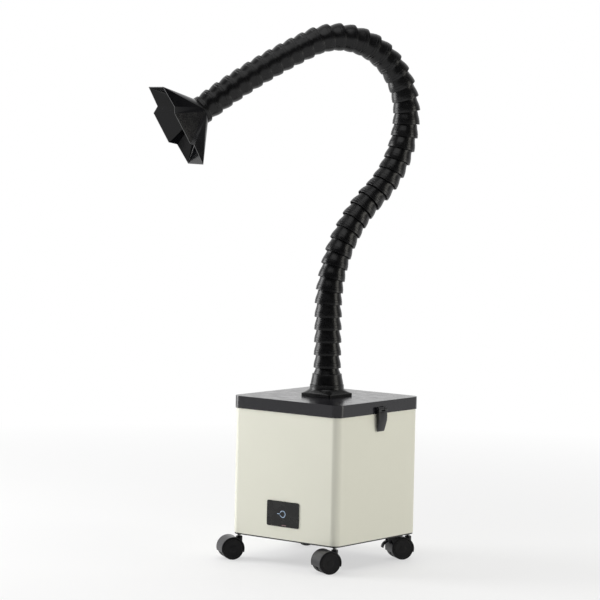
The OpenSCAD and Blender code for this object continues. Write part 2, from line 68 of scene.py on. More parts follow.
CABINET_HIGH = box_mm("cabinet_shell")[1]
LID_LOW, LID_HIGH = box_mm("lid")
LID_TOP = LID_HIGH.z

# the arm: number of bells and the bend at each, in degrees, from the neck to the hood
STRETCHES = [(5, 0), (10, -4.6), (7, 6.5), (12, 9.6), (10, 1.1)]
BELLS_PER_SECTION = 3
PITCH = 28.8
ARM_TURN = 27
HOOD_BEND = -5.7
SKIRT_R = 31.2
SKIRT_DROP = 5
COLLAR_R = 26.2
COLLAR_TOP = PITCH - 4.3
BALL_R = 24.8
SOCKET_R = BALL_R + 0.3
BORE_R = 21.3
BALL_Z = JOINTS["arm_bend_01"]["pos_m"][2] / MM
FLANGE_TOP = LID_TOP + 22


# ---------------------------------------------------------------- materials

class Nodes:
    """Short calls for building a material's node tree."""

    def __init__(self, name):
        self.material = bpy.data.materials.new(name)
        self.material.use_nodes = True
        self.tree = self.material.node_tree
        self.shader = self.tree.nodes["Principled BSDF"]
        self.place = self.add("ShaderNodeTexCoord").outputs["Object"]

    def add(self, kind, **settings):
        node = self.tree.nodes.new(kind)
        for key, value in settings.items():
            setattr(node, key, value)
        return node

    def link(self, source, target):
        self.tree.links.new(source, target)

    def stretched(self, scale):
        """Object coordinates scaled by a vector, for grain that runs one way."""
        mapping = self.add("ShaderNodeMapping")
        mapping.inputs["Scale"].default_value = scale
        self.link(self.place, mapping.inputs["Vector"])
        return mapping.outputs["Vector"]

    def noise(self, scale, detail=3.0, rough=0.55, place=None):
        node = self.add("ShaderNodeTexNoise")
        node.inputs["Scale"].default_value = scale
        node.inputs["Detail"].default_value = detail
        node.inputs["Roughness"].default_value = rough
        self.link(place or self.place, node.inputs["Vector"])
        return node.outputs["Fac"]

    def cells(self, scale, feature="F1"):
        node = self.add("ShaderNodeTexVoronoi", feature=feature)
        node.inputs["Scale"].default_value = scale
        self.link(self.place, node.inputs["Vector"])
        return node

    def remap(self, value, low, high, to_low, to_high):
        node = self.add("ShaderNodeMapRange")
        for socket, number in zip(node.inputs[1:5], (low, high, to_low, to_high)):
            socket.default_value = number
        self.link(value, node.inputs[0])
        return node.outputs[0]

    def math(self, kind, a, b):
        node = self.add("ShaderNodeMath", operation=kind, use_clamp=True)
        for socket, value in zip(node.inputs, (a, b)):
            if isinstance(value, (int, float)):
                socket.default_value = value
            else:
                self.link(value, socket)
        return node.outputs[0]

    def mix(self, factor, colour_a, colour_b):
        node = self.add("ShaderNodeMix", data_type="RGBA")
        self.link(factor, node.inputs["Factor"])
        for socket, value in zip((node.inputs[6], node.inputs[7]), (colour_a, colour_b)):
            if isinstance(value, (tuple, list)):
                socket.default_value = (*value, 1)
            else:
                self.link(value, socket)
        return node.outputs[2]

    def edges(self, radius):
        """1 near sharp edges and 0 on flats: where the rounded normal leaves the true one."""
        rounded = self.add("ShaderNodeBevel", samples=4)
        rounded.inputs["Radius"].default_value = radius
        plain = self.add("ShaderNodeNewGeometry").outputs["Normal"]
        dot = self.add("ShaderNodeVectorMath", operation="DOT_PRODUCT")
        self.link(rounded.outputs[0], dot.inputs[0])
        self.link(plain, dot.inputs[1])
        return self.remap(dot.outputs["Value"], 0.995, 0.9, 0, 1)

    def bump(self, height, distance):
        node = self.add("ShaderNodeBump")
        node.inputs["Strength"].default_value = 1.0
        node.inputs["Distance"].default_value = distance
        self.link(height, node.inputs["Height"])
        return node.outputs["Normal"]

    def set(self, **sockets):
        """Constant values go on the shader's own sockets."""
        for name, value in sockets.items():
            socket = self.shader.inputs[name.replace("_", " ")]
            socket.default_value = (*value, 1) if isinstance(value, tuple) else value

    def drive(self, **sockets):
        for name, source in sockets.items():
            self.link(source, self.shader.inputs[name.replace("_", " ")])


def shade(colour, factor):
    return tuple(min(1.0, c * factor) for c in colour)


def worn_surface(name, colour, rough, grain, depth, wear=0.35, wear_colour=None, tint=0.12, **sockets):
    """A moulded or painted surface: slow colour drift, fine grain, uneven gloss and rubbed edges.

    grain is the grain's size and depth its height, in metres.
    """
    n = Nodes(name)
    drift = n.noise(9, 4, 0.6)
    patches = n.noise(45, 3, 0.6)
    speck = n.noise(1 / grain, 2, 0.5)
    body = n.mix(n.remap(drift, 0.3, 0.7, 0, 1), shade(colour, 1 - tint), shade(colour, 1 + tint))
    body = n.mix(n.remap(speck, 0.35, 0.75, 0, 0.35), body, shade(colour, 1 - 2 * tint))
    rubbed = n.math("MULTIPLY", n.edges(0.0012), n.remap(patches, 0.35, 0.6, 0, wear))
    n.drive(
        Base_Color=n.mix(rubbed, body, wear_colour or shade(colour, 2.2)),
        Roughness=n.remap(patches, 0.25, 0.75, rough - 0.05, rough + 0.06),
        Normal=n.bump(speck, depth),
    )
    n.set(**sockets)
    return n.material


def cream_paint():
    return worn_surface("cream powder coat", (0.78, 0.775, 0.665), 0.42, 0.0011, 0.00003, wear=0.3,
                        wear_colour=(0.84, 0.83, 0.78), tint=0.012, Specular_IOR_Level=0.45)


def black_paint():
    return worn_surface("black powder coat", (0.022, 0.022, 0.023), 0.45, 0.0009, 0.00004)


def lid_black():
    return worn_surface("satin black lid", (0.010, 0.0095, 0.0125), 0.2, 0.0008, 0.00002,
                        wear=0.25, Specular_IOR_Level=0.36)


def black_plastic():
    return worn_surface("moulded black plastic", (0.02, 0.02, 0.021), 0.45, 0.0007, 0.00003)


def latch_plastic():
    return worn_surface("latch nylon", (0.006, 0.006, 0.007), 0.3, 0.0006, 0.00003, wear=0.5,
                        wear_colour=(0.03, 0.03, 0.032), Specular_IOR_Level=0.35)


def hose_plastic():
    return worn_surface("hose polypropylene", (0.004, 0.004, 0.0045), 0.3, 0.0022, 0.00004,
                        wear=0.3, wear_colour=(0.02, 0.02, 0.022), Specular_IOR_Level=0.28)


def hood_plastic():
    return worn_surface("hood ABS", (0.0035, 0.0035, 0.0045), 0.16, 0.0016, 0.00003,
                        wear=0.6, wear_colour=(0.06, 0.06, 0.064), Specular_IOR_Level=0.28)


def caster_plastic():
    return worn_surface("caster cover nylon", (0.006, 0.0055, 0.0078), 0.32, 0.0007, 0.00003, wear=0.45,
                        Specular_IOR_Level=0.3)


def wheel_plastic():
    n = Nodes("wheel nylon")
    scuffs = n.noise(260, 5, 0.7)
    dust = n.noise(38, 4, 0.65)
    base = n.mix(n.remap(dust, 0.4, 0.75, 0, 0.6), (0.006, 0.006, 0.007), (0.016, 0.0156, 0.0152))
    rubbed = n.math("MULTIPLY", n.edges(0.0015), n.remap(scuffs, 0.4, 0.6, 0, 0.6))
    n.drive(
        Base_Color=n.mix(rubbed, base, (0.04, 0.039, 0.038)),
        Roughness=n.remap(dust, 0.3, 0.7, 0.42, 0.6),
        Normal=n.bump(scuffs, 0.00005),
    )
    n.set(Specular_IOR_Level=0.18)
    return n.material


def blower_plastic():
    return worn_surface("blower case plastic", (0.06, 0.06, 0.066), 0.5, 0.001, 0.00004, wear=0.4)


def metal(name, colour, rough, along, tint=0.12, grain=0.00001):
    """Sheet or turned metal: fine lines along one direction over blotches of plating."""
    n = Nodes(name)
    lines = n.noise(420, 3, 0.6, n.stretched(along))
    blotch = n.noise(60, 4, 0.6)
    n.drive(
        Base_Color=n.mix(n.remap(blotch, 0.3, 0.7, 0, 1), shade(colour, 1 - tint), shade(colour, 1 + tint)),
        Roughness=n.remap(lines, 0.3, 0.7, rough - 0.07, rough + 0.1),
        Normal=n.bump(lines, grain),
    )
    n.set(Metallic=1.0)
    return n.material


def steel():
    return metal("zinc plated steel", (0.62, 0.62, 0.6), 0.3, (1, 1, 0.08))


def motor_steel():
    return metal("turned motor steel", (0.46, 0.46, 0.48), 0.32, (0.1, 0.1, 3))


def zinc_sheet():
    n = Nodes("spangled zinc sheet")
    spangle = n.cells(75)
    fine = n.noise(500, 3, 0.6)
    n.drive(
        Base_Color=n.mix(spangle.outputs["Distance"], (0.5, 0.52, 0.54), (0.7, 0.72, 0.73)),
        Roughness=n.remap(spangle.outputs["Distance"], 0, 0.6, 0.32, 0.5),
        Normal=n.bump(fine, 0.00001),
    )
    n.set(Metallic=1.0)
    return n.material


def panel_glass():
    n = Nodes("black panel glass")
    smudge = n.noise(55, 5, 0.65)
    grain = n.noise(900, 2, 0.5)
    n.drive(
        Base_Color=n.mix(n.remap(smudge, 0.45, 0.7, 0, 1), (0.008, 0.0078, 0.0076), (0.013, 0.0128, 0.012)),
        Roughness=n.remap(smudge, 0.3, 0.7, 0.2, 0.32),
        Normal=n.bump(grain, 0.000003),
    )
    n.set(Specular_IOR_Level=0.3)
    return n.material


def panel_light():
    n = Nodes("lit symbol")
    low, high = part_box("panel_lights")
    height = n.add("ShaderNodeSeparateXYZ")
    n.link(n.place, height.inputs[0])
    is_mark = n.remap(height.outputs["Z"], low.z + 0.004, low.z + 0.008, 0, 1)
    glow = n.noise(300, 2, 0.5)
    colour = n.mix(is_mark, (0.13, 0.05, 0.04), (0.36, 0.48, 0.64))
    dimmed = n.mix(n.remap(glow, 0.3, 0.7, 0, 0.3), colour, (0.2, 0.22, 0.3))
    n.drive(Base_Color=dimmed, Emission_Color=dimmed, Roughness=n.remap(glow, 0.3, 0.7, 0.3, 0.4))
    n.set(Emission_Strength=0.25)
    return n.material


def circuit_board():
    n = Nodes("circuit board")
    tracks = n.cells(240, "DISTANCE_TO_EDGE").outputs["Distance"]
    copper = n.remap(tracks, 0.03, 0.06, 1, 0)
    n.drive(
        Base_Color=n.mix(copper, (0.01, 0.11, 0.04), (0.03, 0.24, 0.09)),
        Roughness=n.remap(copper, 0, 1, 0.35, 0.25),
        Normal=n.bump(copper, 0.00003),
    )
    return n.material


def filter_paper():
    n = Nodes("pleated filter paper")
    fibres = n.noise(900, 5, 0.7, n.stretched((1, 0.25, 1)))
    stain = n.noise(14, 4, 0.6)
    base = n.mix(n.remap(stain, 0.4, 0.75, 0, 1), (0.86, 0.86, 0.83), (0.76, 0.75, 0.71))
    n.drive(
        Base_Color=n.mix(n.remap(fibres, 0.4, 0.7, 0, 0.3), base, (0.68, 0.68, 0.66)),
        Roughness=n.remap(fibres, 0.3, 0.7, 0.8, 0.95),
        Normal=n.bump(fibres, 0.00012),
    )
    n.set(Sheen_Weight=0.15)
    return n.material


def carbon_felt():
    n = Nodes("activated carbon")
    grains = n.cells(420)
    dust = n.noise(60, 3, 0.6)
    n.drive(
        Base_Color=n.mix(grains.outputs["Distance"], (0.05, 0.05, 0.053), (0.012, 0.012, 0.013)),
        Roughness=n.remap(dust, 0.3, 0.7, 0.6, 0.9),
        Normal=n.bump(grains.outputs["Distance"], 0.0006),
    )
    return n.material


def filter_felt():
    n = Nodes("open filter felt")
    fibres = n.noise(700, 6, 0.75)
    clumps = n.noise(120, 4, 0.6)
    base = n.mix(n.remap(clumps, 0.35, 0.7, 0, 1), (0.86, 0.87, 0.88), (0.66, 0.68, 0.71))
    n.drive(
        Base_Color=n.mix(n.remap(fibres, 0.45, 0.7, 0, 0.4), base, (0.5, 0.52, 0.55)),
        Roughness=n.remap(fibres, 0.3, 0.7, 0.85, 1.0),
        Normal=n.bump(fibres, 0.0004),
    )
    n.set(Sheen_Weight=0.3)
    return n.material


def gasket_rubber():
    n = Nodes("gasket foam")
    pores = n.cells(1100)
    n.drive(
        Base_Color=n.mix(pores.outputs["Distance"], (0.012, 0.012, 0.012), (0.05, 0.05, 0.05)),
        Roughness=n.remap(pores.outputs["Distance"], 0, 0.6, 0.95, 0.75),
        Normal=n.bump(pores.outputs["Distance"], 0.0002),
    )
    return n.material


FINISHES = (
    cream_paint, black_paint, steel, black_plastic, panel_glass, panel_light, circuit_board, zinc_sheet,
    blower_plastic, motor_steel, filter_paper, carbon_felt, filter_felt, lid_black, gasket_rubber,
    hose_plastic, latch_plastic, hood_plastic, caster_plastic, wheel_plastic,
)
MATERIALS = {finish.__name__: finish() for finish in FINISHES}


# ---------------------------------------------------------------- mesh helpers

def make_piece(name, bm, node, place=None, sharp=35, replaces=True, slot=None):
    """Turns a mesh in millimetres into a piece that rides with a CAD node's body, in its finish."""
    bmesh.ops.recalc_face_normals(bm, faces=bm.faces)
    bm.transform(Matrix.Scale(MM, 4) @ (place or Matrix.Identity(4)))
    mesh = bpy.data.meshes.new(name)
    bm.to_mesh(mesh)
    bm.free()
    mesh.shade_smooth()
    mesh.set_sharp_from_angle(angle=math.radians(sharp))
    piece = bpy.data.objects.new(name, mesh)
    bpy.context.scene.collection.objects.link(piece)
    slot = slot or SLOT_OF[node]
    mesh.materials.append(MATERIALS[slot])
    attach(piece, BODY_OF[node])
    if replaces:
        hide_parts(node)
    return piece


def keep_flats(piece):
    """Keeps large flat faces flat beside rounded edges."""
    modifier = piece.modifiers.new("flat faces stay flat", "WEIGHTED_NORMAL")
    modifier.keep_sharp = True


def join_rings(bm, rings, closed_rings=True, closed_loop=False):
    """Skins a list of vertex rings with quads."""
    count = len(rings[0])
    pairs = list(zip(rings, rings[1:] + rings[:1])) if closed_loop else list(zip(rings, rings[1:]))
    for low, high in pairs:
        for i in range(count if closed_rings else count - 1):
            j = (i + 1) % count
            bm.faces.new((low[i], low[j], high[j], high[i]))


def add_lathe(bm, profile, segments=48, place=None):
    """Revolves a closed outline of (radius, height) points about Z."""
    place = place or Matrix.Identity(4)
    rings = []
    for i in range(segments):
        turn = Matrix.Rotation(2 * math.pi * i / segments, 4, "Z")
        rings.append([bm.verts.new(place @ turn @ Vector((r, 0, z))) for r, z in profile])
    join_rings(bm, rings, closed_loop=True)


def arc(radius, start, end, steps, centre=(0, 0)):
    """Points on a circle in the profile plane, from one angle to another, in degrees from +r."""
    angles = [math.radians(start + (end - start) * i / steps) for i in range(steps + 1)]
    return [(centre[0] + radius * math.cos(a), centre[1] + radius * math.sin(a)) for a in angles]


def rounded_square(half_w, half_d, radius, steps=6):
    """Outline of a rounded rectangle as (x, y) points."""
    points = []
    for quarter, (sx, sy) in enumerate(((1, 1), (-1, 1), (-1, -1), (1, -1))):
        centre = (sx * (half_w - radius), sy * (half_d - radius))
        points += arc(radius, 90 * quarter, 90 * quarter + 90, steps, centre)
    return points


def bevel(piece, width, segments=2, angle=32):
    """Rounds a piece's sharp edges by a width in millimetres."""
    modifier = piece.modifiers.new("rounded edges", "BEVEL")
    modifier.width = width * MM
    modifier.segments = segments
    modifier.limit_method = "ANGLE"
    modifier.angle_limit = math.radians(angle)
    modifier.miter_outer = "MITER_ARC"


# ---------------------------------------------------------------- camera, light and floor

CAMERA_AZIMUTH = 38.403
CAMERA_PITCH = 4.017
CAMERA_ROLL = 1.081
CAMERA_PLACE = Vector((3.63872, -4.69433, 1.00520))
LENS = 157.85


def make_camera():
    azimuth, pitch = math.radians(CAMERA_AZIMUTH), math.radians(CAMERA_PITCH)
    back = Vector((math.sin(azimuth) * math.cos(pitch), -math.cos(azimuth) * math.cos(pitch), math.sin(pitch)))
    data = bpy.data.cameras.new("camera")
    data.sensor_width = 36
    data.lens = LENS
    data.clip_end = 200
    camera = bpy.data.objects.new("camera", data)
    roll = Matrix.Rotation(math.radians(CAMERA_ROLL), 4, "Z")
    facing = back.to_track_quat("Z", "Y").to_matrix().to_4x4()
    camera.matrix_world = Matrix.Translation(CAMERA_PLACE) @ facing @ roll
    bpy.context.scene.collection.objects.link(camera)
    bpy.context.scene.camera = camera


def make_softbox(name, azimuth, height, distance, width, tall, power, tint=(1, 1, 1)):
    """A rectangular light that faces the object. Azimuth is from -Y towards +X, in degrees."""
    data = bpy.data.lights.new(name, "AREA")
    data.shape = "RECTANGLE"
    data.size, data.size_y = width, tall
    data.energy = power
    data.color = tint
    light = bpy.data.objects.new(name, data)
    a = math.radians(azimuth)
    light.location = (distance * math.sin(a), -distance * math.cos(a), height)
    target = Vector((0, 0, 0.55))
    light.rotation_euler = (light.location - target).to_track_quat("Z", "Y").to_euler()
    light.visible_camera = False
    bpy.context.scene.collection.objects.link(light)


def make_studio():
    make_softbox("left softbox", CAMERA_AZIMUTH - 102, 0.8, 2.6, 1.4, 2.8, 84)
    make_softbox("right softbox", CAMERA_AZIMUTH + 72, 0.8, 2.8, 1.0, 2.6, 31, (1, 0.98, 0.9))
    make_softbox("top softbox", 20, 3.2, 1.2, 2.4, 2.4, 30)
    world = bpy.data.worlds.new("studio")
    world.use_nodes = True
    tree = world.node_tree
    background = tree.nodes["Background"]
    direction = tree.nodes.new("ShaderNodeTexCoord").outputs["Generated"]
    away = tree.nodes.new("ShaderNodeVectorMath")
    away.operation = "DOT_PRODUCT"
    azimuth = math.radians(CAMERA_AZIMUTH)
    away.inputs[1].default_value = (-math.sin(azimuth), math.cos(azimuth), 0.25)
    tree.links.new(direction, away.inputs[0])
    spread = tree.nodes.new("ShaderNodeMapRange")
    for socket, value in zip(spread.inputs[1:5], (0.0, 0.85, 0.02, 1.0)):
        socket.default_value = value
    tree.links.new(away.outputs["Value"], spread.inputs[0])
    seen = tree.nodes.new("ShaderNodeLightPath").outputs["Is Camera Ray"]
    bright = tree.nodes.new("ShaderNodeMath")
    bright.operation = "MAXIMUM"
    tree.links.new(spread.outputs[0], bright.inputs[0])
    tree.links.new(seen, bright.inputs[1])
    tree.links.new(bright.outputs[0], background.inputs["Strength"])
    background.inputs["Color"].default_value = (1, 1, 1, 1)
    bpy.context.scene.world = world
    bpy.context.scene.view_settings.view_transform = "Standard"


def make_floor():
    """A pale floor that fades into the background, so that no horizon shows."""
    bm = bmesh.new()
    bmesh.ops.create_circle(bm, cap_ends=True, segments=96, radius=14)
    mesh = bpy.data.meshes.new("floor")
    bm.to_mesh(mesh)
    bm.free()
    floor = bpy.data.objects.new("floor", mesh)
    n = Nodes("pale floor")
    distance = n.add("ShaderNodeVectorMath", operation="LENGTH")
    n.link(n.place, distance.inputs[0])
    mottled = n.noise(3, 3, 0.5)
    n.drive(
        Base_Color=n.mix(mottled, (0.86, 0.86, 0.86), (0.89, 0.89, 0.885)),
        Roughness=n.remap(mottled, 0, 1, 0.6, 0.7),
    )
    glow = n.add("ShaderNodeEmission")
    glow.inputs["Color"].default_value = (1, 1, 1, 1)
    blend = n.add("ShaderNodeMixShader")
    n.link(n.remap(distance.outputs["Value"], 0.4, 2.6, 0.55, 1), blend.inputs[0])
    n.link(n.shader.outputs[0], blend.inputs[1])
    n.link(glow.outputs[0], blend.inputs[2])
    n.link(blend.outputs[0], n.tree.nodes["Material Output"].inputs["Surface"])
    mesh.materials.append(n.material)
    bpy.context.scene.collection.objects.link(floor)


# ---------------------------------------------------------------- the arm

def arm_layout():
    """Ball centres as (reach, height) and leans in degrees, from the neck to the hood."""
    balls, leans, lean = [(0, BALL_Z)], [], 0
    for count, bend in STRETCHES:
        for _ in range(count):
            lean += bend
            leans.append(lean)
            reach, height = balls[-1]
            a = math.radians(lean)
            balls.append((reach + PITCH * math.sin(a), height + PITCH * math.cos(a)))
    return balls, leans


BALLS, LEANS = arm_layout()
HOOD_LEAN = LEANS[-1] + HOOD_BEND


def on_arm(ball, lean):
    """The place of a frame on the arm: origin at a ball centre, Z along the lean."""
    turn = Matrix.Rotation(math.radians(-90 - ARM_TURN), 4, "Z")
    return turn @ Matrix.Translation((ball[0], 0, ball[1])) @ Matrix.Rotation(math.radians(lean), 4, "Y")


def socket_outline():
    """Inside of a skirt from the bore down to the mouth, as (radius, height)."""
    top = math.degrees(math.acos(BORE_R / SOCKET_R))
    return [*arc(SOCKET_R, top, 7, 6), (25.6, 2.6), (28, 1), (29.3, -SKIRT_DROP + 0.9)]


def ball_outline(centre_z, low_angle):
    """Outside of a ball above its collar and down into the bore."""
    mouth = [(BORE_R + 0.4, centre_z + 12.3), (BORE_R, centre_z + 11.8)]
    return [*arc(BALL_R, low_angle, 29, 6, (0, centre_z)), *mouth]


RING_HEIGHTS = (0.6, 6.4)
RING_DEPTH = 0.45


def bell_radius(z):
    """Outer radius of a bell: a full skirt that draws in to the collar, with two fine rings cut in."""
    t = (z + SKIRT_DROP) / (COLLAR_TOP + SKIRT_DROP)
    swell = 0.5 + 0.5 * math.cos(math.pi * t ** 1.3)
    ring = sum(RING_DEPTH for height in RING_HEIGHTS if abs(z - height) < 0.35)
    return COLLAR_R + (SKIRT_R - COLLAR_R) * swell - ring


def bell_outline():
    heights = [-3.6, -1.6]
    for ring in RING_HEIGHTS:
        heights += [ring + step for step in (-0.7, -0.3, 0.3, 0.7)]
    heights += [3.2, 9, 11.5, 14, 16.5, 19, 21.5, COLLAR_TOP - 0.5]
    outside = [(bell_radius(z), z) for z in sorted(heights)]
    lip = [
        (SKIRT_R - 1.4, -SKIRT_DROP), (SKIRT_R - 0.35, -SKIRT_DROP), (SKIRT_R, -SKIRT_DROP + 0.35),
    ]
    shoulder = [(COLLAR_R - 0.4, COLLAR_TOP), (BALL_R - 0.1, COLLAR_TOP + 0.2)]
    return lip + outside + shoulder + ball_outline(PITCH, -8) + socket_outline()


def make_hose():
    """One piece for each run of bells that bends as one."""
    outline = bell_outline()
    for first in range(0, len(LEANS), BELLS_PER_SECTION):
        number = first // BELLS_PER_SECTION + 1
        bm = bmesh.new()
        for i in range(first, min(first + BELLS_PER_SECTION, len(LEANS))):
            add_lathe(bm, outline, 48, on_arm(BALLS[i], LEANS[i]))
        make_piece(f"bells_{number:02d}", bm, f"hose_{number:02d}", sharp=28)


def make_neck():
    """Turning foot of the arm: a cone with a lip, a collar and the first ball."""
    foot = FLANGE_TOP + 4.3
    outline = [
        (30.6, LID_TOP + 2), (30.9, LID_TOP + 2.6), (30.9, foot), (37, foot), (37.3, foot + 0.4),
        (36.9, foot + 3), (35.6, foot + 10), (34.3, foot + 16), (33.6, foot + 21), (33.5, foot + 23.6),
        (33.1, foot + 24.2), (31.6, foot + 24.2), (30.6, foot + 24.8), (29.4, foot + 28),
        (27.6, BALL_Z - PITCH + 18), (COLLAR_R + 0.2, BALL_Z - PITCH + 22), (COLLAR_R, BALL_Z - 4.8),
        (COLLAR_R - 0.4, BALL_Z - 4.3), (BALL_R - 0.1, BALL_Z - 4.1),
        *ball_outline(BALL_Z, -8), (BORE_R, LID_TOP + 2),
    ]
    bm = bmesh.new()
    add_lathe(bm, outline, 96)
    make_piece("neck", bm, "neck_cone", sharp=28)


def make_collar():
    """Bearing ring under the neck, with its sleeve through the flange."""
    low = LID_TOP - 4.2
    outline = [
        (31, low), (37, low), (37, low + 2.2), (34.3, low + 2.2), (34.3, FLANGE_TOP + 0.05),
        (38.2, FLANGE_TOP + 0.05), (38.5, FLANGE_TOP + 0.4), (38.5, FLANGE_TOP + 3.4), (38, FLANGE_TOP + 3.9),
        (31.3, FLANGE_TOP + 3.9), (31, FLANGE_TOP + 3.6),
    ]
    bm = bmesh.new()
    add_lathe(bm, outline, 96)
    make_piece("neck_bearing", bm, "flange_collar", sharp=28)


def make_flange():
    """Square foot that flares in a hollow curve into a round neck."""
    half, corner, neck_r, foot_h, flare_top = 42, 4, 38.8, 6.5, 17.5
    steps = 14
    heights = [
        (0, half - 0.4, corner), (0.4, half, corner),
        (foot_h - 0.5, half, corner), (foot_h, half - 0.5, corner),
    ]
    for i in range(1, 13):
        t = i / 12
        blend = 1 - (1 - t) ** 1.35
        width = half - 0.5 + (neck_r - half + 0.5) * blend
        heights.append((foot_h + (flare_top - foot_h) * t ** 1.15, width, corner + (width - corner) * blend))
    neck_h = FLANGE_TOP - LID_TOP
    heights += [(neck_h - 0.5, neck_r, neck_r), (neck_h, neck_r - 0.5, neck_r - 0.5)]
    bm = bmesh.new()
    rings = [
        [bm.verts.new((x, y, LID_TOP + z)) for x, y in rounded_square(width, width, radius - 0.001, steps)]
        for z, width, radius in heights
    ]
    bore = 34.5
    for z in (FLANGE_TOP, LID_TOP):
        rings.append([bm.verts.new((x, y, z)) for x, y in rounded_square(bore, bore, bore - 0.001, steps)])
    join_rings(bm, rings, closed_loop=True)
    make_piece("foot_flange", bm, "hose_flange", sharp=30)


def make_hood_mount():
    """Socket that tilts on the last ball, with the tube that the hood turns on."""
    top = 6 + 14
    outline = [
        (SKIRT_R - 1.4, -SKIRT_DROP), (SKIRT_R - 0.3, -SKIRT_DROP), (SKIRT_R, -SKIRT_DROP + 0.3),
        (SKIRT_R, -1.2), (SKIRT_R - 0.5, -0.9), (SKIRT_R - 0.5, -0.2), (SKIRT_R, 0.1), (SKIRT_R, 4),
        (SKIRT_R - 0.4, 5.1), (SKIRT_R - 1.2, 6), (27, 6), (27, top - 0.5), (26.5, top),
        (BORE_R + 0.4, top), (BORE_R, top - 0.4), *socket_outline(),
    ]
    bm = bmesh.new()
    add_lathe(bm, outline, 64)
    make_piece("hood_socket", bm, "hood_mount", on_arm(BALLS[-1], HOOD_LEAN), sharp=28)


def make_hood():
    """A copy of the CAD hood with its flat panels joined up and its creases and rim rounded."""
    shell = NODES["hood_shell"]
    bm = bmesh.new()
    bm.from_mesh(shell.data)
    bm.transform(Matrix.Scale(1 / MM, 4) @ shell.matrix_world)
    bmesh.ops.remove_doubles(bm, verts=bm.verts, dist=0.02)
    bmesh.ops.dissolve_limit(bm, angle_limit=math.radians(1.2), verts=bm.verts, edges=bm.edges)
    bmesh.ops.triangulate(bm, faces=[f for f in bm.faces if len(f.verts) > 4])
    bmesh.ops.dissolve_limit(bm, angle_limit=math.radians(0.6), verts=bm.verts, edges=bm.edges)
    hood = make_piece("hood", bm, "hood_shell", sharp=22)
    bevel(hood, 0.7, 3, 22)
    keep_flats(hood)


# ---------------------------------------------------------------- casters

WHEEL_R = 25
TRAIL = 20
TWIN_W = 45
WEB_T = 6
COVER_R = 27
CASTERS = ("fl", "fr", "rr", "rl")
BRAKED = ("rr", "rl")
BASE_Z = box_mm("base_plate")[0].z
BRAKE_W = 16
BRAKE_REACH = COVER_R + 4
BRAKE_ANGLE = math.radians(150)
BRAKE_Y = -TRAIL + BRAKE_REACH * math.cos(BRAKE_ANGLE)
BRAKE_Z = WHEEL_R + BRAKE_REACH * math.sin(BRAKE_ANGLE)


def caster_place(name):
    """Frame of a caster, read from its swivel and its rolling axis: X along the axle."""
    stem = Vector(JOINTS[f"swivel_{name}"]["pos_m"]) / MM
    axle = Vector(JOINTS[f"roll_{name}"]["axis"])
    if axle.x < 0:
        axle = -axle
    turn = Matrix.Rotation(math.atan2(axle.y, axle.x), 4, "Z")
    return Matrix.Translation((stem.x, stem.y, 0)) @ turn


def along_x(x, y, z):
    """Turns a lathe's own axis, Z, to lie along X through (x, y, z)."""
    return Matrix.Translation((x, y, z)) @ Matrix.Rotation(math.pi / 2, 4, "Y")


def wheel_outline():
    """Half of a twin wheel: rounded tread, and an outer face with a ring groove and a low dome."""
    width = (TWIN_W - WEB_T) / 2 - 0.6
    low, high = WEB_T / 2 + 0.6, WEB_T / 2 + 0.6 + width
    return [
        (3.2, low), (WHEEL_R - 1.6, low), (WHEEL_R - 0.5, low + 0.5), (WHEEL_R, low + 1.8),
        (WHEEL_R, high - 2.2), (WHEEL_R - 0.3, high - 1.1), (WHEEL_R - 1, high - 0.4),
        (WHEEL_R - 2.1, high - 0.1), (WHEEL_R - 3.6, high - 0.1), (WHEEL_R - 4, high - 0.9),
        (WHEEL_R - 4.9, high - 0.9), (WHEEL_R - 5.3, high),
        (WHEEL_R - 10, high - 0.35), (8.4, high - 0.6), (7.8, high - 0.2), (6.6, high), (2, high), (0.02, high),
        (0.02, high - 2), (3.2, high - 2),
    ]


def make_wheels(name):
    bm = bmesh.new()
    for side in (1, -1):
        outline = [(r, side * x) for r, x in wheel_outline()]
        add_lathe(bm, outline, 64, along_x(0, -TRAIL, WHEEL_R))
    bmesh.ops.remove_doubles(bm, verts=bm.verts, dist=0.0001)
    make_piece(f"twin_wheel_{name}", bm, f"caster_wheels_{name}", caster_place(name), sharp=30)


def add_arc_wall(bm, outline, start, end, steps, place):
    """Sweeps a closed (radius, along) outline round part of a turn and closes its two ends."""
    rings = []
    for i in range(steps + 1):
        turn = Matrix.Rotation(math.radians(start + (end - start) * i / steps), 4, "Z")
        rings.append([bm.verts.new(place @ turn @ Vector((r, 0, x))) for r, x in outline])
    join_rings(bm, rings)
    bm.faces.new(rings[0])
    bm.faces.new(list(reversed(rings[-1])))


